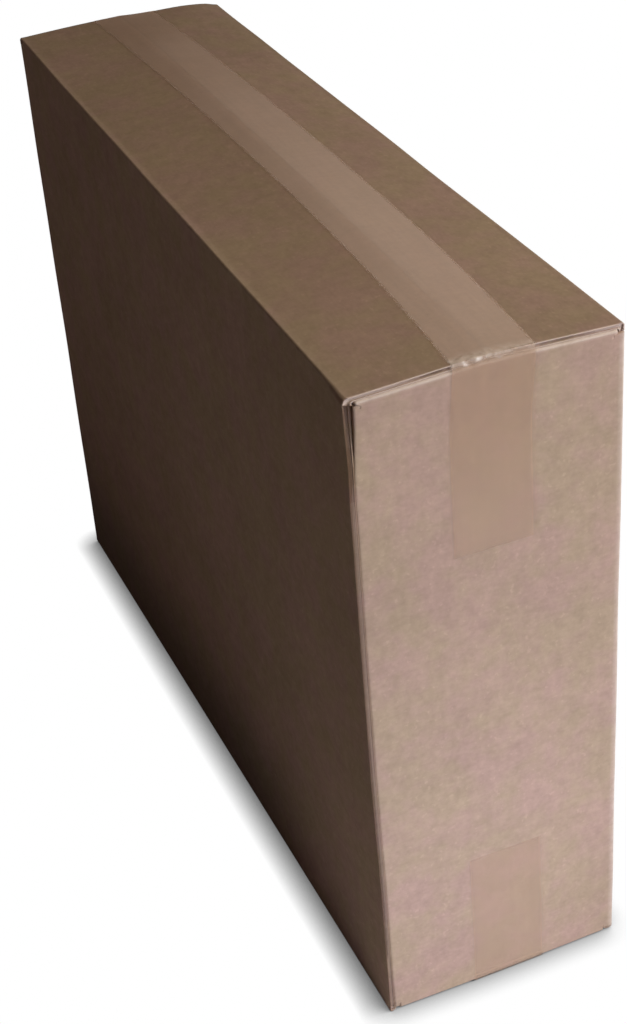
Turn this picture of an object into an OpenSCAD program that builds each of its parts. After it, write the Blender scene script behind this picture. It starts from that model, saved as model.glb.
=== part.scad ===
// Closed box of single-wall corrugated board, folded from one sheet and sealed with packing tape.
// X runs along the box, Y across it and Z up. The origin is at the middle of the footprint, on the
// surface that the box stands on. Near and left mean +X and -Y: the glued corner is near and left.

/* [Box] */
// Outside length, over the end walls
box_l = 560; // [360:5:800]
// Outside width, over the long walls
box_w = 150; // [130:2:260]
// Height from the underside to the top of the long folds
box_h = 419; // [300:1:600]

/* [Board] */
// Thickness of the corrugated board
board_t = 3; // [2:0.1:5]
// Thickness of each facing paper where a cut edge shows it
facing_t = 0.6; // [0.3:0.1:0.8]
// Depth of the open void between the facings at a cut edge
void_d = 1; // [0.5:0.5:4]
// Inside radius of every fold
fold_ri = 1; // [0.5:0.1:2]
// Outside radius of every fold, which its crease makes sharper than the board is thick
fold_ro = 1.5; // [1:0.1:2.5]

/* [Flaps] */
// Gap between the two long flaps where they meet
seam_gap = 0.8; // [0.5:0.1:4]
// Distance from an end wall's face to the cut ends of the long flaps
flap_inset = 1; // [0.5:0.1:3]
// Play between the long flaps and the end flaps that they cover
layer_gap = 0.2; // [0.1:0.1:1]
// Play between the sides of the end flaps and what stands beside them
side_play = 0.5; // [0.3:0.1:3]
// Width of the slit between an end flap's fold and the corner beside it
slit_w = 0.4; // [0.3:0.1:2]

/* [Lift of the top flaps along the seam] */
// Lift at the near end
lift_near = 3; // [0:0.5:8]
// Lift at the middle of the length
lift_mid = 8; // [0:0.5:15]
// Lift at the far end
lift_far = 4; // [0:0.5:8]

/* [Glue tab] */
// Width of the glue tab
tab_w = 35; // [20:1:50]
// How much the tab narrows at each of its ends
tab_taper = 10; // [2:1:25]
// Distance from each end of the tab to the slot beside it
tab_trim = 6; // [4:1:20]
// Thickness of the glue between the tab and the long wall
glue_t = 0.2; // [0.1:0.05:0.5]
// Margin of the tab's outer face that the glue leaves free all round
glue_margin = 4; // [2:0.5:8]

/* [Tape] */
// Width of the tape
tape_w = 48; // [40:1:75]
// Thickness of the tape
tape_t = 0.1; // [0.05:0.05:0.4]
// Shift of the tape from the seam, towards the right-hand long wall
tape_shift = 3; // [-4:0.5:4]
// How much further the top tape wanders that way between its ends
tape_wander = 6; // [0:0.5:10]
// Place along the box of the widest wander
wander_x = 80; // [-150:5:150]
// Film of play between the tape and the board
tape_play = 0.05; // [0.03:0.01:0.1]
// Length of the top tape that is folded down each end wall
top_leg = 110; // [40:1:140]
// Length of the bottom tape that is folded up each end wall
bottom_leg = 97; // [40:1:140]

/* [Hidden] */
$fn = 64;

kraft = [0.69, 0.58, 0.50];
film = [0.76, 0.65, 0.54];

// Rounded to whole 1024ths of a millimetre, so that parts that share a plane share it exactly at
// every size
function whole(length) = round(length * 1024) / 1024;

half_l = whole(box_l / 2);
half_w = whole(box_w / 2);
// Length that a fold takes up on each side of its corner
fold_r = fold_ri + board_t;
// Extra length that carries a cut clear through a face
over_cut = 1;
// Length by which joined parts of the sheet reach into each other
lap = 0.5;

// Levels, from the surface that the tape rests on
base_z = tape_t + tape_play;
top_z = base_z + box_h;
// The end flaps lie under the long ones, so the end walls are lower by this much at each end
end_drop = board_t + layer_gap;

// The long flaps reach from fold to seam, and the end flaps are cut to the same length
flap_end = half_l - flap_inset;
flap_root = half_w - fold_r;
seam_half = seam_gap / 2;
flap_run = flap_root - seam_half;
end_flap_half = half_w - 2 * board_t - glue_t - side_play;

// Axis of the end wall's last fold, which nests behind the raw edge, and the tab's outer face
nest_y = fold_r + board_t + glue_t - half_w;
tab_face_y = nest_y - fold_r;

// Distance from the middle to the tips of the end flaps
tip_x = half_l - half_w + seam_half;

// Rows of points along the lifted flaps, over each end flap and between the two
rows_over = 4;
rows_between = 16;
lift_xs = concat(
    [for (i = [rows_over : -1 : 1]) -tip_x - (flap_end - tip_x) * i / rows_over],
    [for (i = [0 : rows_between]) tip_x * (2 * i / rows_between - 1)],
    [for (i = [1 : rows_over]) tip_x + (flap_end - tip_x) * i / rows_over]);

// Lift of the seam at x: the middle and the ends joined by one half parabola each
function seam_lift(x) =
    let (end_lift = x > 0 ? lift_near : lift_far, share = x / flap_end)
    lift_mid + (end_lift - lift_mid) * share * share;

// Sideways place of the top tape's middle line at x
function tape_y(x) =
    let (side = x > wander_x ? 1 : -1, share = (x - wander_x) / (flap_end - side * wander_x))
    tape_shift + tape_wander * (1 - share * share);

// Sides of the top tape at x with the two sides of the seam between them
function tape_ys(x) = [tape_y(x) - tape_w / 2, -seam_half, seam_half, tape_y(x) + tape_w / 2];

// Height of the outer face of the top flaps at a point of the plan: straight from fold to seam
function flap_z(x, y) =
    let (share = min(1, (flap_root - abs(y)) / flap_run))
    top_z + seam_lift(x) * share;

// Lift of the top flaps' cut edge at an end, as a pair of its direction along X and the lift
top_ends = [[1, lift_near], [-1, lift_far]];
flat_ends = [[1, 0], [-1, 0]];

// Bar along X with its section drawn in the plane of Y and Z
module bar_x(length) {
    rotate([90, 0, 90]) linear_extrude(length, center = true) children();
}

// Bar along Y with its section drawn in the plane of X and Z
module bar_y(length) {
    rotate([90, 0, 0]) linear_extrude(length, center = true) children();
}

// Section of a creased sheet that turns about the origin, from its +x side to its +y side, with the
// corner radius of its outside
module bend(inner, outer, corner) {
    difference() {
        intersection() {
            square(outer);
            union() {
                square([outer, outer - corner]);
                square([outer - corner, outer]);
                translate([outer - corner, outer - corner]) circle(corner);
            }
        }
        circle(inner);
    }
}

// Closed sheet between two grids of points, each a list of rows of equal length. Every patch is
// split the same way, so that sheets on the same rows lie snugly on each other.
module sheet(under, over) {
    rows = len(under);
    cols = len(under[0]);
    points = concat([for (row = under) each row], [for (row = over) each row]);
    function at(layer, i, j) = (layer * rows + i) * cols + j;
    under_faces = [for (i = [0 : rows - 2]) for (j = [0 : cols - 2]) each [
        [at(0, i, j), at(0, i + 1, j), at(0, i + 1, j + 1)],
        [at(0, i, j), at(0, i + 1, j + 1), at(0, i, j + 1)]]];
    over_faces = [for (i = [0 : rows - 2]) for (j = [0 : cols - 2]) each [
        [at(1, i, j), at(1, i + 1, j + 1), at(1, i + 1, j)],
        [at(1, i, j), at(1, i, j + 1), at(1, i + 1, j + 1)]]];
    long_edges = [for (i = [0 : rows - 2]) each [
        [at(0, i, 0), at(1, i, 0), at(1, i + 1, 0), at(0, i + 1, 0)],
        [at(0, i, cols - 1), at(0, i + 1, cols - 1), at(1, i + 1, cols - 1), at(1, i, cols - 1)]]];
    cross_edges = [for (j = [0 : cols - 2]) each [
        [at(0, 0, j), at(0, 0, j + 1), at(1, 0, j + 1), at(1, 0, j)],
        [at(0, rows - 1, j), at(1, rows - 1, j), at(1, rows - 1, j + 1), at(0, rows - 1, j + 1)]]];
    polyhedron(points, concat(under_faces, over_faces, long_edges, cross_edges));
}

// Plan of the walls. The sheet starts at the raw edge in the glued corner, runs round the other
// three corners, and its last fold nests behind its own start.
module wall_plan() {
    straight_l = half_l - fold_r;
    straight_w = half_w - fold_r;
    translate([-straight_l, -half_w]) square([straight_l + half_l, board_t]);
    translate([-straight_l, half_w - board_t]) square([2 * straight_l, board_t]);
    translate([-half_l, -straight_w]) square([board_t, 2 * straight_w]);
    translate([half_l - board_t, nest_y]) square([board_t, straight_w - nest_y]);
    translate([straight_l - lap, tab_face_y]) square([lap, board_t]);
    translate([-straight_l, -straight_w]) rotate(180) bend(fold_ri, fold_r, fold_ro);
    translate([-straight_l, straight_w]) rotate(90) bend(fold_ri, fold_r, fold_ro);
    translate([straight_l, straight_w]) bend(fold_ri, fold_r, fold_ro);
    translate([straight_l, nest_y]) rotate(-90) bend(fold_ri, fold_r, fold_ro);
}

// Walls between the folds. The end walls stop lower than the long walls, and the corners stop at
// the floors of the slots between neighbouring flaps.
module walls() {
    end_margin = end_drop + fold_r;
    slot_margin = end_drop + fold_r / 2;
    corner_y = end_flap_half + slit_w;
    translate([0, 0, base_z + end_margin]) linear_extrude(box_h - 2 * end_margin) wall_plan();
    translate([0, 0, base_z + slot_margin]) linear_extrude(box_h - 2 * slot_margin)
        intersection() {
            wall_plan();
            for (side = [-1, 1])
                translate([0, side * (corner_y + half_w) / 2])
                    square([2 * half_l, half_w - corner_y], center = true);
        }
    for (side = [-1, 1]) {
        reach = side < 0 ? half_l : half_l - fold_r;
        translate([fold_r - half_l, side * (half_w - board_t / 2) - board_t / 2, base_z + fold_r])
            cube([half_l - fold_r + reach, board_t, box_h - 2 * fold_r]);
    }
}

// Glue tab behind the raw edge, with tapered ends, and the glue that joins it to the long wall
module glue_tab() {
    root_z = base_z + end_drop + fold_r + tab_trim;
    root_h = top_z + base_z - 2 * root_z;
    free_h = root_h - 2 * tab_taper;
    translate([half_l - fold_r, tab_face_y + board_t, root_z]) rotate([90, 0, 0]) {
        linear_extrude(board_t)
            polygon([[0, 0], [0, root_h], [-tab_w, root_h - tab_taper], [-tab_w, tab_taper]]);
        translate([glue_margin - tab_w, tab_taper + glue_margin, board_t - lap])
            cube([tab_w - 2 * glue_margin, free_h - 2 * glue_margin, glue_t + 2 * lap]);
    }
}

// End flap and its fold, with the sheet's outer face at z = 0 and the wall's face at x = half_l
module end_flap() {
    flap_l = half_w - seam_half;
    bar_y(2 * end_flap_half) {
        translate([half_l - fold_r, -fold_r]) bend(fold_ri, fold_r, fold_ro);
        translate([half_l - board_t, -fold_r - lap]) square([board_t, lap]);
        translate([half_l - flap_l, -board_t]) square([flap_l - fold_r, board_t]);
    }
}

// Section of a long flap's fold with the top of its wall, between two depths in the sheet that are
// measured from its outer face. The outer face of the closed flap is at y = 0.
module long_fold_section(outer_depth = 0, inner_depth = board_t) {
    translate([flap_root, -fold_r])
        bend(fold_r - inner_depth, fold_r - outer_depth, fold_ro - outer_depth);
    translate([half_w - inner_depth, -fold_r - lap]) square([inner_depth - outer_depth, lap]);
}

// Section of a long flap that rises by the given lift from its fold to the seam
module long_flap_section(lift = 0, outer_depth = 0, inner_depth = board_t) {
    polygon([
        [flap_root, -inner_depth], [flap_root, -outer_depth],
        [seam_half, lift - outer_depth], [seam_half, lift - inner_depth]]);
}

// Voids between the facings at the two cut ends of a long flap and its fold
module flap_end_voids(ends) {
    for (end = ends)
        translate([end[0] * (flap_end + (over_cut - void_d) / 2), 0, 0])
            bar_x(void_d + over_cut) {
                long_fold_section(facing_t, board_t - facing_t);
                long_flap_section(end[1], facing_t, board_t - facing_t);
            }
}

// Long flap of the top, lifted along the seam, on the side of the given sign. It has a row of points
// under the tape's edge, so that the tape lies on it, and a tongue that reaches into its fold.
module lifted_flap(side) {
    function ys(x) =
        side < 0 ? [-flap_root, tape_ys(x)[0], -seam_half] : [seam_half, tape_ys(x)[3], flap_root];
    function tongue(x, depth) = [x, side * (flap_root + lap), top_z - depth];
    function row(x, depth) = [for (y = ys(x)) [x, y, flap_z(x, y) - depth]];
    function closed_row(x, depth, tongue_depth) =
        side < 0 ? concat([tongue(x, tongue_depth)], row(x, depth))
                 : concat(row(x, depth), [tongue(x, tongue_depth)]);
    sheet([for (x = lift_xs) closed_row(x, board_t, board_t - facing_t)],
          [for (x = lift_xs) closed_row(x, 0, facing_t)]);
}

module carton() {
    color(kraft) {
        difference() {
            union() {
                walls();
                glue_tab();
                for (side = [0, 1]) {
                    translate([0, 0, top_z]) mirror([0, side, 0]) bar_x(2 * flap_end) long_fold_section();
                    translate([0, 0, base_z]) mirror([0, side, 0]) mirror([0, 0, 1]) bar_x(2 * flap_end) {
                        long_fold_section();
                        long_flap_section();
                    }
                    translate([0, 0, top_z - end_drop]) mirror([side, 0, 0]) end_flap();
                    translate([0, 0, base_z + end_drop]) mirror([side, 0, 0]) mirror([0, 0, 1]) end_flap();
                }
                lifted_flap(-1);
                lifted_flap(1);
            }
            for (side = [0, 1]) {
                translate([0, 0, top_z]) mirror([0, side, 0]) flap_end_voids(top_ends);
                translate([0, 0, base_z]) mirror([0, side, 0]) mirror([0, 0, 1]) flap_end_voids(flat_ends);
            }
            // Void along the raw edge of the left-hand long wall
            translate([half_l - void_d, facing_t - half_w, base_z + fold_r])
                cube([void_d + over_cut, board_t - 2 * facing_t, box_h - 2 * fold_r]);
        }
    }
}

// Rows of the top tape: up the far end wall, over the flaps and down the near end wall. The film
// spans from the flaps' cut ends to the level of the end flap's outer face. The offset is the height
// in the film, from its underside.
function top_tape_row(x, offset) = [for (y = tape_ys(x)) [x, y, flap_z(x, y) + tape_play + offset]];

function top_tape_wall_row(end, z, offset) =
    [for (y = tape_ys(end * flap_end)) [end * (half_l + tape_play + offset), y, z]];

function top_tape_rows(offset) =
    let (wall_z = top_z - end_drop, leg_z = top_z - top_leg, stop = len(lift_xs) - 1)
    concat(
        [top_tape_wall_row(-1, leg_z, offset), top_tape_wall_row(-1, wall_z, offset)],
        [for (i = [0 : stop])
            let (end = i == 0 ? -1 : i == stop ? 1 : 0)
            [for (point = top_tape_row(lift_xs[i], offset)) point + [end * (tape_play + offset), 0, 0]]],
        [top_tape_wall_row(1, wall_z, offset), top_tape_wall_row(1, leg_z, offset)]);

module top_tape() {
    color(film) sheet(top_tape_rows(0), top_tape_rows(tape_t));
}

// Side view of one half of the bottom tape, from the middle out to the top of its leg
function bottom_tape_side(offset) = [
    [flap_end + tape_play + offset, tape_t - offset],
    [half_l + tape_play + offset, base_z + end_drop],
    [half_l + tape_play + offset, bottom_leg]];

function reversed(list) = [for (i = [len(list) - 1 : -1 : 0]) list[i]];

function flipped(list) = [for (point = list) [-point[0], point[1]]];

module bottom_tape() {
    inner = bottom_tape_side(0);
    outer = bottom_tape_side(tape_t);
    color(film)
        translate([0, tape_shift, 0])
            bar_y(tape_w)
                polygon(concat(reversed(flipped(outer)), outer, reversed(inner), flipped(inner)));
}

carton();
top_tape();
bottom_tape();
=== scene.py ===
"""Closed cardboard box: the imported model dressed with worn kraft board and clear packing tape."""
from math import radians

import bmesh
import bpy
import numpy as np
from mathutils import Matrix, Vector, noise


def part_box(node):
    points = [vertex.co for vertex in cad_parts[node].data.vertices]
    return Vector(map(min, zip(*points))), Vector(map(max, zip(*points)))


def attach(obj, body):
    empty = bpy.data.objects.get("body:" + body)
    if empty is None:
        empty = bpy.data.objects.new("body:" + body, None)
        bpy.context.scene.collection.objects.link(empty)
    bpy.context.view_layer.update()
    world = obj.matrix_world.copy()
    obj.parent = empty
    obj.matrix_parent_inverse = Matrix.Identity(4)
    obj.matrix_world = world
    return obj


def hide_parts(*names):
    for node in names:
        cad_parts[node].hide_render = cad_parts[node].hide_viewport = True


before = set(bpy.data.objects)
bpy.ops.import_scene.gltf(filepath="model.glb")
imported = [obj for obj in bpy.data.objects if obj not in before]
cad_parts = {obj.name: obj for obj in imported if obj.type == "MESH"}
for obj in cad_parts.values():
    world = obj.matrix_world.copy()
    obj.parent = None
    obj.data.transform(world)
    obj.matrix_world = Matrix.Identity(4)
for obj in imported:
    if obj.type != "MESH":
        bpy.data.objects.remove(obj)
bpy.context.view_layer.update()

MM = 0.001

# How far a point may lie from a surface to be counted as on it
HAIR = 0.01 * MM
FINE = 0.05 * MM
LOOSE = 0.1 * MM

# Sizes of the box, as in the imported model
carton_low, carton_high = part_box("carton")
HALF_L = carton_high.x
HALF_W = carton_high.y
BASE_Z = carton_low.z
SEAM_LIFT = 8 * MM
NEAR_LIFT = 3 * MM
TOP_Z = carton_high.z - SEAM_LIFT
BOARD = 3 * MM
FACING = 0.6 * MM
VOID_DEPTH = 1 * MM
LAYER_GAP = 0.2 * MM
FOLD_R = 4 * MM
FLAP_END = HALF_L - 1 * MM
FLAP_ROOT = HALF_W - FOLD_R
END_DROP = BOARD + LAYER_GAP
PAST_FLAPS = FLAP_END + 0.02 * MM
FLUTE_PITCH = 6.5 * MM

# How the photographed box departs from a true one: shift of a corner, by its ends and sides
CORNER_SHIFTS = {
    ("far", "left", "top"): Vector((0, 1.4, 2.9)) * MM,
    ("far", "right", "top"): Vector((0, -1.7, -1.0)) * MM,
    ("near", "right", "top"): Vector((0, 1.5, -1.0)) * MM,
    ("near", "left", "top"): Vector((0, -1.2, 0)) * MM,
}
CRUSHED_CORNER = 1.8 * MM
FAR_REACH = 90 * MM
FAR_ARCH = 0.6 * MM
ARCH_Y = 48 * MM
ARCH_SPREAD = 16 * MM
FAR_SAG = 1.1 * MM
SAG_Y = 8 * MM
SAG_SPREAD = 26 * MM
NEAR_REACH = 90 * MM
WAVE = 0.35 * MM
WAVE_SCALE = 14
WAVE_SEED = 1796002463
FLAP_SHIFT = 0.35 * MM
LEG_LEAN = 2.5 * MM
TAPE_CLEAR = 0.05 * MM
CRINKLE_SCALE = 260

# Course of the tapes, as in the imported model: half their width, their shift from the seam, and how far
# the top one wanders from it
TAPE_HALF = 24 * MM
TAPE_SHIFT = 3 * MM
TAPE_WANDER = 6 * MM
WANDER_X = 80 * MM

# The glued corner gapes at its top: the outer facing stands out and the rest of the edge lies back.
# Lower down its flutes are crushed flush with the facings, the fold beside it is crushed too, and the
# corner bows outwards. NESTED_Y is the depth of that fold behind the outer facing.
GAPE_DEPTH = 47 * MM
GAPE_REACH = 30 * MM
RAW_EDGE_OUT = 1.6 * MM
INNER_FACING_OUT = -0.25
RAW_EDGE_BACK = 3 * MM
NESTED_Y = 7.2 * MM
FOLD_BACK = 0.7 * MM
CRUSHED_FLUTES = 0.85 * VOID_DEPTH
CRUSHED_FOLD = 0.65
EDGE_BOW = 1.3 * MM
BOW_REACH_X = 60 * MM
BOW_REACH_Y = 40 * MM

# Sides of the near end flap and of the slits beside its fold, which the used box has closed
END_FLAP_SIDE = HALF_W - 6.7 * MM
SLIT_W = 0.4 * MM
SLOT_FLOOR = TOP_Z - END_DROP - FOLD_R / 2
FLAP_SPREAD = 2.4 * MM

# The near end wall bows out at its foot and is crushed down over the cut ends of the bottom flaps
FOOT_BOW = 1.5 * MM
FOOT_GAP = 0.6 * MM
FOOT_REACH = 30 * MM
FLAPS_PUSHED_IN = 2.5 * MM

# Colours
KRAFT = (0.44, 0.32, 0.26)
OLIVE = (0.98, 1.02, 0.945, 1)
PINK = (1.02, 0.98, 1.035, 1)
# Pale paper of worn folds and cut edges, also the painted highlight along the end walls' top folds
WORN_AND_HIGHLIGHT = (0.67, 0.56, 0.51, 1)
# Painted shade taken off the colour at the foot of the shaded wall
FOOT_SHADE = (1.2, 0.9, 0.9)
# Taken off the raw edge: partly its own duller tone, partly painted shade in its gape and in the flute
# voids of the flaps' cut ends
DULL_AND_SHADE = (0.95, 1.02, 1.06)
FILM = (0.652, 0.457, 0.341, 1)
AMBER = (0.60, 0.40, 0.27, 1)
# Whitish creased film, partly a painted highlight
CREASE_WHITE_AND_HIGHLIGHT = (0.75, 0.64, 0.57, 1)
FLOOR_COLOUR = (0.93, 0.92, 0.90, 1)
WINDOW = (1.0, 0.88, 0.80)
AMBIENT = (0.038, 0.024, 0.020, 1)

# Heights of the flutes' printed ripple and of the fine unevenness, on the board and on the film
BOARD_RIPPLE = 0.012 * MM
BOARD_ROUGH = 0.05 * MM
FILM_RIPPLE = 0.005 * MM
FILM_WRINKLE = 0.12 * MM

# How much of the film shows, what a crease adds, where its sides fade out and what is left of them, and
# the share that shows on the end walls
FILM_COVER = 0.4
CREASE_COVER = 0.35
SIDE_FADE = 2.5 * MM
SIDE_CLEAR = 0.6 * MM
SIDE_COVER = 0.05
TOP_LEG_GRIP = 0.7
BOTTOM_LEG_GRIP = 0.45

# The shadow at the foot, longer on the side away from the light
SHADOW_REACH = 18 * MM
SHADOW_SIDE = (0.3, 0.5, 1)
SHADOW_POWER = 1.6

# The window that the film mirrors: its direction, where it starts and is full, its strength, and the
# stretch of x over which it fades to a remainder
WINDOW_SIDE = (0, 0.84, 1)
WINDOW_START = 0.535
WINDOW_FULL = 0.80
WINDOW_GLOW = 2.1
WINDOW_FAR = -0.5
WINDOW_NEAR = 0.1
WINDOW_REST = 0.25


def step(values, start, end):
    """Smooth step from 0 at start to 1 at end."""
    t = np.clip((values - start) / (end - start), 0, 1)
    return t * t * (3 - 2 * t)


def bell(values, spread):
    """Bell curve of 1 at zero."""
    return np.exp(-(values / spread) ** 2)


def shift_corners(moved, x, y, z):
    """The corners are out of true, and the right edge of the top is crushed towards its far end."""
    shares = {
        "near": (x / HALF_L + 1) / 2, "far": (1 - x / HALF_L) / 2,
        "right": (y / HALF_W + 1) / 2, "left": (1 - y / HALF_W) / 2,
        "top": np.clip((z - BASE_Z) / (TOP_Z - BASE_Z), 0, 1),
    }
    for corner, shift in CORNER_SHIFTS.items():
        weight = np.prod([shares[name] for name in corner], axis=0)
        moved += weight[:, None] * np.array(shift)
    moved[:, 2] -= CRUSHED_CORNER * shares["far"] * bell(y - HALF_W, 7 * MM) * bell(z - TOP_Z, 18 * MM)


def near_top(z):
    """1 at the top edges, fading out down the walls."""
    return step(z, TOP_Z - 60 * MM, TOP_Z - 8 * MM)


def sag_far_edge(moved, x, y, z):
    """The far top edge sags over the seam and arches beside it."""
    far = step(x, FAR_REACH - HALF_L, -HALF_L) * near_top(z)
    arch = FAR_ARCH * bell(y - ARCH_Y, ARCH_SPREAD)
    sag = FAR_SAG * bell(y - SAG_Y, SAG_SPREAD)
    moved[:, 2] += far * (arch - sag)


def press_up(moved, x, y, z, under):
    """The near end wall and its flap press up against the long flaps, which rise to the seam."""
    flap_share = np.clip((FLAP_ROOT - abs(y)) / FLAP_ROOT, 0, 1)
    press = LAYER_GAP * (abs(y) < FLAP_ROOT - 2 * MM) + 0.9 * NEAR_LIFT * flap_share
    moved[:, 2] += press * under * near_top(z) * step(x, HALF_L - NEAR_REACH, HALF_L - 5 * MM)


def close_slits(moved, x, y, z):
    """The slits beside the near end flap's fold are closed, and the flap spreads over the slots."""
    near = x > HALF_L - 12 * MM
    beside = abs(abs(y) - END_FLAP_SIDE - SLIT_W / 2) < SLIT_W
    slit = near & beside & (z > SLOT_FLOOR - FOLD_R) & (z < SLOT_FLOOR + HAIR)
    moved[:, 1] += (np.sign(y) * (END_FLAP_SIDE + SLIT_W / 2) - y) * slit
    flap_side = (abs(y) < END_FLAP_SIDE + HAIR) & (z > SLOT_FLOOR + FINE) & (z < TOP_Z - BOARD - LOOSE)
    to_side = step(abs(y), END_FLAP_SIDE - 8 * MM, END_FLAP_SIDE)
    to_fold = step(x, HALF_L - 25 * MM, HALF_L - 6 * MM)
    moved[:, 1] += np.sign(y) * FLAP_SPREAD * flap_side * to_side * to_fold


def open_glued_corner(moved, x, y, z):
    """The raw edge gapes at its top, and below it the corner is crushed and bows outwards."""
    gape = step(z, TOP_Z - GAPE_DEPTH, TOP_Z - 6 * MM) * step(z, TOP_Z + MM, TOP_Z - 4 * MM)
    depth = y + HALF_W
    in_wall = depth < BOARD + LOOSE
    behind_wall = depth > BOARD + LOOSE
    to_edge = step(x, HALF_L - GAPE_REACH, HALF_L)
    outwards = np.interp(depth, [FACING, BOARD], [1, INNER_FACING_OUT])
    moved[:, 1] -= RAW_EDGE_OUT * gape * (in_wall * to_edge) * outwards

    at_edge = x > HALF_L - 1.2 * VOID_DEPTH
    inner_part = at_edge & (depth > FACING - FINE) & in_wall
    outer_skin = (x > HALF_L - LOOSE) & (depth < FACING + FINE)
    moved[:, 0] -= RAW_EDGE_BACK * gape * (inner_part & ~outer_skin & (z < TOP_Z - FOLD_R - LOOSE))
    void_floor = inner_part & (x < HALF_L - 0.9 * VOID_DEPTH) & (z < TOP_Z - FOLD_R)
    moved[:, 0] += CRUSHED_FLUTES * (1 - gape) * void_floor

    nested_fold = behind_wall * step(depth, 2 * BOARD + 15 * MM, BOARD)
    moved[:, 1] += FOLD_BACK * gape * nested_fold * to_edge
    from_centre = np.hypot(x - (HALF_L - FOLD_R), depth - NESTED_Y)
    in_fold = (x > HALF_L - FOLD_R - HAIR) & behind_wall & (depth < NESTED_Y)
    crushed = in_fold & (from_centre > 0.9 * FOLD_R) & (z < TOP_Z - FOLD_R)
    above_foot = step(z, 8 * MM, 30 * MM)
    moved[:, 0] += CRUSHED_FOLD * (HALF_L - x) * (1 - 0.4 * gape) * crushed * above_foot

    bow = step(z, 90 * MM, 190 * MM) * step(z, TOP_Z - 5 * MM, TOP_Z - 60 * MM)
    into_box = np.clip(1 - depth / BOW_REACH_Y, 0, 1)
    moved[:, 1] -= EDGE_BOW * bow * step(x, HALF_L - BOW_REACH_X, HALF_L) * into_box


def press_foot(moved, x, y, z):
    """The near end wall bows out at its foot and comes down over the flaps, whose ends lie back."""
    foot = step(z, 120 * MM, 0) * step(z, 0, 8 * MM) * step(x, HALF_L - 40 * MM, HALF_L)
    moved[:, 0] += FOOT_BOW * foot * np.cos(np.clip(y / HALF_W, -1, 1) * np.pi / 2)
    fold_low = BASE_Z + END_DROP
    pressed = np.interp(z, [0, fold_low, FOOT_REACH, 1], [0, FOOT_GAP, FOOT_REACH, 1])
    outside = x > PAST_FLAPS
    between_folds = abs(y) < FLAP_ROOT - LOOSE
    over_flaps = (z > fold_low - LOOSE) & between_folds
    to_end = step(x, FLAP_END - 2.5 * MM, FLAP_END)
    moved[:, 2] += (pressed - z) * np.maximum(outside, over_flaps * to_end)
    flap_ends = (z > BASE_Z - HAIR) & (z < fold_low - LOOSE) & ~outside & between_folds
    moved[:, 0] -= FLAPS_PUSHED_IN * step(x, FLAP_END - 20 * MM, FLAP_END) * flap_ends


def relief(points, under):
    """Moves points of the true box to where the used box has them. The share of 1 in under is for what
    lies below the long top flaps."""
    moved = points.copy()
    x, y, z = points.T
    shift_corners(moved, x, y, z)
    sag_far_edge(moved, x, y, z)
    press_up(moved, x, y, z, under)
    close_slits(moved, x, y, z)
    open_glued_corner(moved, x, y, z)
    press_foot(moved, x, y, z)
    return moved


def waves(points):
    """Slight unevenness of the board, which fades out where it rests on the floor."""
    soft = np.array([noise.noise_vector(Vector(p) * WAVE_SCALE) for p in points])
    return WAVE * soft * step(points[:, 2], BASE_Z + BOARD, 40 * MM)[:, None]


def cuts(low, high, coarse, fine, margin):
    """Cut positions from low to high: coarse in the middle and fine within the margin of both ends."""
    inner = np.linspace(low + margin, high - margin, round((high - low - 2 * margin) / coarse) + 1)
    edge = np.arange(fine, margin, fine)
    return np.concatenate([low + edge, inner, high - edge])


def cut_copy(node, name, x_cuts, y_cuts, z_cuts):
    """Copy of a CAD node as a new piece, cut along planes so that its faces can bend."""
    mesh = bmesh.new()
    mesh.from_mesh(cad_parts[node].data)
    bmesh.ops.remove_doubles(mesh, verts=mesh.verts, dist=1e-6)
    bmesh.ops.dissolve_limit(mesh, angle_limit=radians(0.01), verts=mesh.verts, edges=mesh.edges)
    for axis, places in enumerate((x_cuts, y_cuts, z_cuts)):
        normal = Vector((0, 0, 0))
        normal[axis] = 1
        for place in places:
            geometry = mesh.verts[:] + mesh.edges[:] + mesh.faces[:]
            bmesh.ops.bisect_plane(mesh, geom=geometry, dist=1e-6, plane_co=normal * place, plane_no=normal)
    bmesh.ops.triangulate(mesh, faces=mesh.faces)
    data = bpy.data.meshes.new(name)
    mesh.to_mesh(data)
    mesh.free()
    piece = bpy.data.objects.new(name, data)
    bpy.context.scene.collection.objects.link(piece)
    return piece


def points_of(data):
    """Places of the points."""
    points = np.empty(len(data.vertices) * 3)
    data.vertices.foreach_get("co", points)
    return points.reshape(-1, 3)


def vectors_of(data, kind):
    """Centres or normals of the faces."""
    vectors = np.empty(len(data.polygons) * 3)
    data.polygons.foreach_get(kind, vectors)
    return vectors.reshape(-1, 3)


def finish_mesh(data, points):
    """Puts the moved points back and smooths the shading over the folds but not over cut edges."""
    data.vertices.foreach_set("co", points.ravel())
    data.update()
    data.shade_smooth()
    data.set_sharp_from_angle(angle=radians(35))


def add_attribute(data, name, domain, values):
    attribute = data.attributes.new(name, "FLOAT", domain)
    attribute.data.foreach_set("value", np.asarray(values, dtype=np.float32))


# Materials

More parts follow.
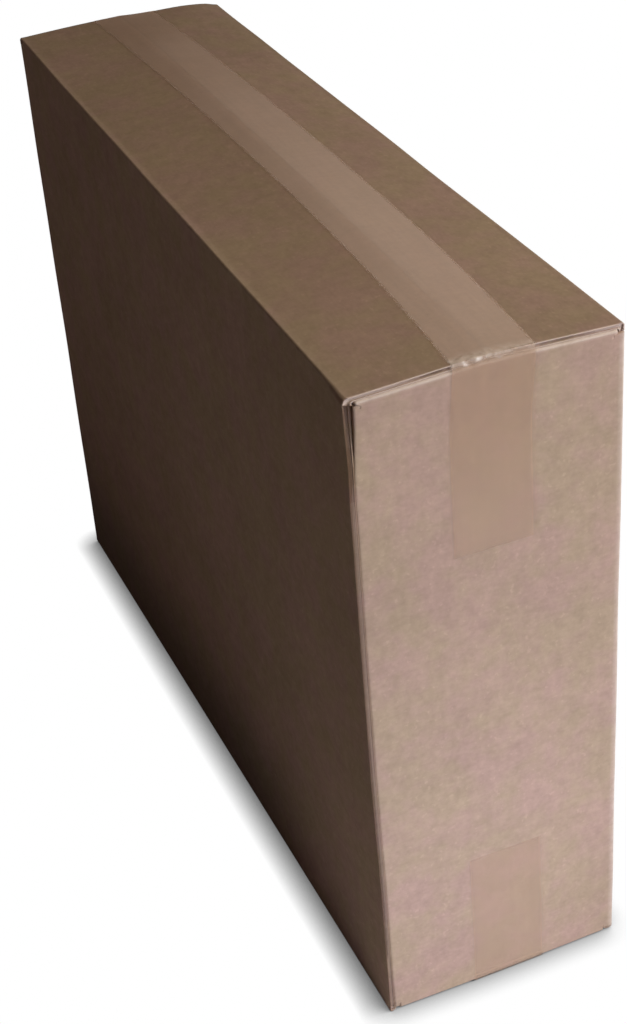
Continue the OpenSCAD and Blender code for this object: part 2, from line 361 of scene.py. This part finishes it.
class Shader:
    """Short way to add nodes to a material or world and join them."""

    def __init__(self, tree):
        self.tree = tree
        tree.nodes.clear()

    def add(self, kind, inputs=None, **settings):
        made = self.tree.nodes.new("ShaderNode" + kind)
        for key, value in settings.items():
            setattr(made, key, value)
        for key, value in (inputs or {}).items():
            if isinstance(value, bpy.types.NodeSocket):
                self.tree.links.new(value, made.inputs[key])
            else:
                made.inputs[key].default_value = value
        return made

    def math(self, operation, *values, clamp=False):
        return self.add("Math", dict(enumerate(values)), operation=operation, use_clamp=clamp).outputs[0]

    def vector(self, operation, *values):
        return self.add("VectorMath", dict(enumerate(values)), operation=operation).outputs[0]

    def scaled(self, vector, factor):
        return self.add("VectorMath", {0: vector, "Scale": factor}, operation="SCALE").outputs[0]

    def blend(self, share, first, second):
        """Colour that goes from first to second as share goes from 0 to 1."""
        return self.add("Mix", {0: share, 6: first, 7: second}, data_type="RGBA").outputs[2]

    def ramp(self, value, start, end, low=0, high=1):
        """Goes from low to high as value goes from start to end."""
        return self.add("MapRange", {
            "Value": value, "From Min": start, "From Max": end, "To Min": low, "To Max": high}).outputs[0]

    def noise(self, vector, scale, detail=2, roughness=0.5):
        made = self.add("TexNoise", {
            "Vector": vector, "Scale": scale, "Detail": detail, "Roughness": roughness})
        return made.outputs["Fac"]

    def attribute(self, name):
        return self.add("Attribute", attribute_name=name).outputs["Fac"]

    def vary(self, tone, patches, strength):
        """Adds a noise value of 0 to 1 to the tone, so that it swings about zero."""
        return self.math("ADD", tone, self.math("MULTIPLY", self.math("SUBTRACT", patches, 0.5), strength))

    def bump(self, ripple, ripple_height, rough, rough_height):
        height = self.math("ADD", self.math("MULTIPLY", ripple, ripple_height),
                           self.math("MULTIPLY", rough, rough_height))
        return self.add("Bump", {"Height": height, "Strength": 1.0, "Distance": 1.0}).outputs[0]

    def on_end(self):
        """1 on the end walls and 0 elsewhere."""
        normal = self.add("SeparateXYZ", {"Vector": self.add("NewGeometry").outputs["True Normal"]})
        return self.math("GREATER_THAN", self.math("ABSOLUTE", normal.outputs[0]), 0.7)

    def seen_directly(self):
        """1 for what the camera sees, also in a gloss or through the film, and 0 for diffuse light."""
        seen = self.add("LightPath")
        return self.math("MAXIMUM", seen.outputs["Is Camera Ray"], self.math(
            "MAXIMUM", seen.outputs["Is Glossy Ray"], seen.outputs["Is Transmission Ray"]))


def new_material(name):
    material = bpy.data.materials.new(name)
    material.use_nodes = True
    return material, Shader(material.node_tree)


def flute_wave(shader, position, on_end):
    """Height of the ripple that the flutes print through the facing: they stand upright in the walls
    and lie across the flaps."""
    places = shader.add("SeparateXYZ", {"Vector": position}).outputs
    along = shader.add("Mix", {"Factor": on_end, "A": places[0], "B": places[1]}).outputs[0]
    return shader.math("SINE", shader.math("MULTIPLY", along, 2 * np.pi / FLUTE_PITCH))


def kraft_material():
    """Unbleached liner: fibres, mottling and faint tints, paler where a fold is worn and with a painted
    highlight along the end walls' top folds, duller on the raw edge, with painted shade in its gape, in the
    flute voids and at the foot of the shaded wall, and with its flutes printing through."""
    material, shader = new_material("kraft_board")
    position = shader.add("TexCoord").outputs["Object"]
    on_end = shader.on_end()

    grain = shader.add("Mix", {
        "Factor": on_end, "A": (150, 620, 620), "B": (620, 150, 620)}, data_type="VECTOR").outputs[1]
    fibre = shader.noise(shader.vector("MULTIPLY", position, grain), 1, 3, 0.6)
    mottle = shader.noise(position, 420)
    blotch = shader.noise(position, 130)
    cloud = shader.noise(position, 16, 3)
    tone = shader.vary(1, fibre, 0.16)
    for patches, strength in ((mottle, 0.20), (blotch, 0.26), (cloud, 0.20)):
        tone = shader.vary(tone, patches, strength)
    specks = shader.ramp(shader.noise(position, 330, 1), 0.66, 0.74, 0, 0.10)
    tone = shader.math("ADD", tone, specks)
    lean = shader.ramp(shader.noise(position, 34, 3, 0.6), 0.38, 0.62)
    paper = shader.vector("MULTIPLY", KRAFT, shader.blend(lean, OLIVE, PINK))
    paper = shader.scaled(paper, tone)

    # Patchy wear, with the painted highlight on the end walls' top folds, and pale cut edges blend to the
    # pale colour
    wear_and_highlight_patches = shader.math("MULTIPLY_ADD", shader.noise(position, 210, 3), 1.5, 0.25)
    wear_and_highlight = shader.math("MULTIPLY", shader.attribute("wear_and_highlight"), wear_and_highlight_patches, clamp=True)
    paper = shader.blend(shader.math("MAXIMUM", wear_and_highlight, shader.attribute("cut")), paper, WORN_AND_HIGHLIGHT)
    # Painted shade at the foot of the shaded wall, and the raw edge's duller tone with painted shade in its
    # gape and flute voids
    for name, loss in (("painted_foot_shade", FOOT_SHADE), ("dull_and_shade", DULL_AND_SHADE)):
        lost = shader.scaled(loss, shader.attribute(name))
        paper = shader.vector("MULTIPLY", paper, shader.vector("SUBTRACT", (1, 1, 1), lost))

    ripple = flute_wave(shader, position, on_end)
    surface = shader.add("BsdfPrincipled", {
        "Base Color": paper, "Roughness": 0.88, "Specular IOR Level": 0.0,
        "Normal": shader.bump(ripple, BOARD_RIPPLE, mottle, BOARD_ROUGH)})
    shader.add("OutputMaterial", {"Surface": surface.outputs[0]})
    return material


def tape_material():
    """Clear brownish film: streaked along its length, yellower towards the top of its legs, whitish where
    it is creased, partly as a painted highlight, less seen where it grips the board well, and running out
    thin at its sides."""
    material, shader = new_material("packing_tape")
    position = shader.add("TexCoord").outputs["Object"]

    streaks = shader.noise(shader.vector("MULTIPLY", position, (16, 300, 16)), 1)
    wrinkles = shader.noise(shader.vector("MULTIPLY", position, (170, 45, 45)), 1)
    tone = shader.vary(1, streaks, 0.16)
    for patches, strength in ((wrinkles, 0.10), (shader.noise(position, 380), 0.16),
                              (shader.noise(position, 60, 3), 0.16)):
        tone = shader.vary(tone, patches, strength)
    film = shader.scaled(shader.blend(shader.attribute("amber"), FILM, AMBER), tone)
    crinkle = shader.math("MULTIPLY_ADD", shader.noise(position, 240), 2.0, -0.3)
    crease = shader.math("MULTIPLY", shader.attribute("crease"), crinkle, clamp=True)
    film = shader.blend(crease, film, CREASE_WHITE_AND_HIGHLIGHT)
    side = shader.ramp(
        shader.attribute("across"), TAPE_HALF - SIDE_FADE, TAPE_HALF - SIDE_CLEAR, 1, SIDE_COVER)
    cover = shader.math("MULTIPLY", shader.math("MULTIPLY_ADD", crease, CREASE_COVER, FILM_COVER),
                        shader.math("MULTIPLY", shader.attribute("grip"), side))

    ripple = flute_wave(shader, position, shader.on_end())
    surface = shader.add("BsdfPrincipled", {
        "Base Color": film, "Roughness": 0.28, "Specular IOR Level": 0.6, "Alpha": cover,
        "Normal": shader.bump(ripple, FILM_RIPPLE, wrinkles, FILM_WRINKLE)})
    shader.add("OutputMaterial", {"Surface": surface.outputs[0]})
    return material


# The carton

def make_carton():
    piece = cut_copy(
        "carton", "folded_carton",
        cuts(-HALF_L, HALF_L, 9 * MM, 2 * MM, 12 * MM),
        cuts(-HALF_W, HALF_W, 6 * MM, 2 * MM, 10 * MM),
        np.append(cuts(BASE_Z, TOP_Z, 10 * MM, 1 * MM, 8 * MM), SLOT_FLOOR + 0.1 * MM))
    data = piece.data
    points = points_of(data)
    x, y, z = points.T
    level = np.minimum(z, TOP_Z)

    # Wear along the folds that the hand and the floor reach; along the top folds of the end walls it is
    # partly wear and partly a painted highlight, strongest at the near end
    upright = bell(np.hypot(abs(x) - HALF_L, abs(y) - HALF_W), 2.2 * MM)
    long_fold = bell(np.hypot(abs(y) - HALF_W, level - TOP_Z), 1.6 * MM)
    end_fold = bell(np.hypot(abs(x) - HALF_L, level - TOP_Z + END_DROP), 1.2 * MM)
    end_fold = np.clip(1.7 * end_fold, 0, 1)
    end_fold *= np.clip((x + HALF_L) / HALF_L, 0.4, 1)
    wear_and_highlight = np.maximum.reduce([
        0.8 * upright * (y > 0), 0.3 * long_fold, end_fold * (level < TOP_Z - BOARD)])
    add_attribute(data, "wear_and_highlight", "POINT", wear_and_highlight)

    # Cut edges of the flaps are pale, with the flutes crushed near the corners and painted shade in the
    # open flutes between them
    centre_x, centre_y, centre_z = vectors_of(data, "center").T
    out = abs(centre_x)
    faces_out = abs(vectors_of(data, "normal")[:, 0]) > 0.9
    flap_cut = faces_out & (out < FLAP_END + LOOSE) & (out > FLAP_END - 1.1 * VOID_DEPTH)
    in_void = flap_cut & (out < FLAP_END - 0.5 * VOID_DEPTH)
    open_flutes = step(centre_y, -58 * MM, -35 * MM) * step(centre_y, 66 * MM, 50 * MM)
    paleness = np.where(centre_z > TOP_Z - FOLD_R, 0.75, 0.2)
    add_attribute(data, "cut", "FACE", flap_cut * paleness * np.where(in_void, 0.8 - 0.7 * open_flutes, 1))

    # The raw edge is duller in tone, with painted shade over its gape, darkest where the gape ends, and
    # painted shade in the open flute voids of the flaps' cut ends; painted shade also darkens the foot of
    # the shaded wall
    depth = centre_y + HALF_W
    gape = step(centre_z, TOP_Z - GAPE_DEPTH - 15 * MM, TOP_Z - GAPE_DEPTH / 2)
    raw_edge = (centre_x > HALF_L - 1.1 * VOID_DEPTH) & (depth < BOARD + HAIR) & (depth > HAIR)
    dull_and_shade = (np.interp(depth, [0.5 * FACING, BOARD], [0.66, 0.32]) * (1 - gape)
            + np.interp(depth, [0.5 * BOARD, 0.9 * BOARD], [0.66, 0.1]) * gape)
    dull_and_shade += 0.3 * bell(centre_z - TOP_Z + 0.9 * GAPE_DEPTH, 14 * MM)
    shaded = 0.5 * bell(centre_y + 28 * MM, 9 * MM) + 0.35 * bell(centre_y - 42 * MM, 14 * MM)
    add_attribute(data, "dull_and_shade", "FACE", np.maximum(raw_edge * np.minimum(dull_and_shade, 0.75), in_void * shaded))
    # Painted shade darkens the foot of the shaded wall, most towards its far end
    foot_shade = (y < 0.02 * MM - HALF_W) * step(z, 110 * MM, 20 * MM) * step(x, 200 * MM, 50 * MM)
    add_attribute(data, "painted_foot_shade", "POINT", 0.26 * foot_shade)

    # The flaps meet without a gap in the used box
    meet = step(z, TOP_Z - 4 * MM, TOP_Z - BOARD) * step(abs(y), 25 * MM, 0)
    closed = points - np.outer(FLAP_SHIFT * np.sign(y) * meet, (0, 1, 0))
    finish_mesh(data, relief(closed, z < TOP_Z - BOARD - LOOSE) + waves(points))
    data.materials.append(kraft_material())
    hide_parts("carton")
    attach(piece, "root")


def make_tape(node, name, material, wander, leg_grip):
    """One tape: wander is how far it strays from the seam, leg_grip how much of the film shows on the
    end walls."""
    low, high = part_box(node)
    piece = cut_copy(
        node, name,
        cuts(-HALF_L, HALF_L, 4 * MM, 1 * MM, 8 * MM),
        np.linspace(low.y, high.y, 41)[1:-1],
        np.concatenate([np.arange(low.z + 2 * MM, high.z - 16 * MM, 4 * MM),
                        np.arange(high.z - 16 * MM, high.z, 1 * MM)]))
    data = piece.data
    points = points_of(data)
    x, y, z = points.T.copy()
    on_leg = abs(x) > PAST_FLAPS
    near_end = step(x, FLAP_END - 8 * MM, FLAP_END)
    share = (x - WANDER_X) / np.where(x > WANDER_X, FLAP_END - WANDER_X, FLAP_END + WANDER_X)
    middle = TAPE_SHIFT + wander * np.clip(1 - share ** 2, 0, 1)

    # Creases where the film turns over the near top edge, most on its left half, whitened partly by the
    # crease and partly as a painted highlight
    edge = near_end * bell(z - TOP_Z, 6 * MM)
    left_half = step(y, middle + 8 * MM, middle - 6 * MM)
    crinkle = np.array([noise.noise(Vector(p) * CRINKLE_SCALE) for p in points])
    lift = np.clip(crinkle, 0, 1) * edge * (0.25 + left_half) * MM
    crease = bell(z - TOP_Z - 0.6 * NEAR_LIFT, 2.2 * MM) * near_end * (0.7 + 0.8 * left_half)
    add_attribute(data, "crease", "POINT", np.clip(crease, 0, 1))
    add_attribute(data, "amber", "POINT", on_leg * 0.8 * step(z, TOP_Z - 95 * MM, TOP_Z - 15 * MM))
    add_attribute(data, "across", "POINT", abs(y - middle))
    add_attribute(data, "grip", "POINT", np.where(on_leg, leg_grip, 1))

    # The legs of the top tape lean to the left, and all the film lies just clear of the board
    if high.z > TOP_Z:
        points[:, 1] -= LEG_LEAN * step(z, TOP_Z, TOP_Z - 40 * MM) * on_leg
    under = on_leg * np.clip((TOP_Z + NEAR_LIFT - z) / (NEAR_LIFT + END_DROP), 0, 1)
    moved = relief(points, under) + waves(points)
    moved[:, 0] += (lift + TAPE_CLEAR) * np.sign(x) * on_leg
    moved[:, 2] += (lift + TAPE_CLEAR) * (~on_leg & (z > BASE_Z))
    finish_mesh(data, moved)
    data.materials.append(material)
    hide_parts(node)
    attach(piece, "root")


# Without a seed the vector noise of the waves starts from the clock and differs from run to run
noise.seed_set(WAVE_SEED)

make_carton()
film = tape_material()
make_tape("top_tape", "top_seam_tape", film, TAPE_WANDER, TOP_LEG_GRIP)
make_tape("bottom_tape", "bottom_seam_tape", film, 0, BOTTOM_LEG_GRIP)


# The studio. The floor is white to the camera but for the shadow at the foot of the box, and a plain
# pale floor to the light.

def make_floor():
    half = 6
    corners = [(-half, -half, 0), (half, -half, 0), (half, half, 0), (-half, half, 0)]
    data = bpy.data.meshes.new("floor")
    data.from_pydata(corners, [], [(0, 1, 2, 3)])
    floor = bpy.data.objects.new("floor", data)
    bpy.context.scene.collection.objects.link(floor)
    material, shader = new_material("floor")
    tilt = shader.vector("NORMALIZE", SHADOW_SIDE)
    contact = shader.add("AmbientOcclusion", {"Distance": SHADOW_REACH, "Normal": tilt}, samples=16)
    shade = shader.math("POWER", contact.outputs["AO"], SHADOW_POWER)
    white = shader.add("Emission", {"Color": shade, "Strength": 1})
    diffuse = shader.add("BsdfDiffuse", {"Color": FLOOR_COLOUR})
    surface = shader.add("MixShader", {
        0: shader.seen_directly(), 1: diffuse.outputs[0], 2: white.outputs[0]})
    shader.add("OutputMaterial", {"Surface": surface.outputs[0]})
    data.materials.append(material)


def make_world():
    """White to the camera. The film mirrors a window that lies high on the right and at the far end."""
    world = bpy.data.worlds.new("studio")
    bpy.context.scene.world = world
    world.use_nodes = True
    shader = Shader(world.node_tree)
    outlook = shader.add("TexCoord").outputs["Generated"]
    towards = shader.add("VectorMath", {0: outlook, 1: WINDOW_SIDE}, operation="DOT_PRODUCT")
    height = shader.ramp(towards.outputs["Value"], WINDOW_START, WINDOW_FULL, 0, WINDOW_GLOW)
    along_x = shader.add("SeparateXYZ", {"Vector": outlook}).outputs[0]
    end = shader.ramp(along_x, WINDOW_FAR, WINDOW_NEAR, 1, WINDOW_REST)
    mirrored = shader.scaled(WINDOW, shader.math("MULTIPLY", height, end))
    glossy = shader.add("LightPath").outputs["Is Glossy Ray"]
    backdrop = shader.blend(glossy, (1, 1, 1, 1), mirrored)
    colour = shader.blend(shader.seen_directly(), AMBIENT, backdrop)
    background = shader.add("Background", {"Color": colour, "Strength": 1})
    shader.add("OutputWorld", {"Surface": background.outputs[0]})


def make_lamp(name, place, target, size, energy, colour):
    light = bpy.data.lights.new(name, "AREA")
    light.shape = "DISK"
    light.size = size
    light.energy = energy
    light.color = colour
    lamp = bpy.data.objects.new(name, light)
    bpy.context.scene.collection.objects.link(lamp)
    turn = (Vector(place) - Vector(target)).to_track_quat("Z", "Y").to_matrix().to_4x4()
    lamp.matrix_world = Matrix.Translation(place) @ turn
    lamp.visible_camera = False


def make_camera():
    data = bpy.data.cameras.new("camera")
    data.lens = 70.0
    data.sensor_width = 36
    camera = bpy.data.objects.new("camera", data)
    bpy.context.scene.collection.objects.link(camera)
    place = Vector((1.0347, -0.3799, 0.8961))
    looking = Vector((-0.78045, 0.29298, -0.55232))
    roll = radians(4.84)
    turn = looking.to_track_quat("-Z", "Y").to_matrix().to_4x4() @ Matrix.Rotation(-roll, 4, "Z")
    camera.matrix_world = Matrix.Translation(place) @ turn
    bpy.context.scene.camera = camera


make_floor()
make_world()
# Cool daylight from low on the near right, a weak warm lamp overhead, and cards low in front and beside
make_lamp("daylight", (1.89, 1.29, 0.77), (0.28, 0, 0.2),
          size=0.7, energy=24.5, colour=(0.963, 1.0, 1.053))
make_lamp("ceiling", (0.80, 0.73, 1.58), (0.1, 0, 0.42),
          size=0.6, energy=9.0, colour=(1.15, 1.0, 0.72))
make_lamp("front_card", (0.60, -0.04, 0.06), (0.28, 0, 0.04),
          size=0.1, energy=0.37, colour=(0.94, 1.0, 1.2))
make_lamp("side_card", (-0.62, -0.42, 0.30), (-0.28, -0.075, 0.25),
          size=0.3, energy=0.03, colour=(0.95, 0.96, 1.1))
make_camera()
bpy.context.scene.view_settings.view_transform = "Standard"

bpy.context.view_layer.update()
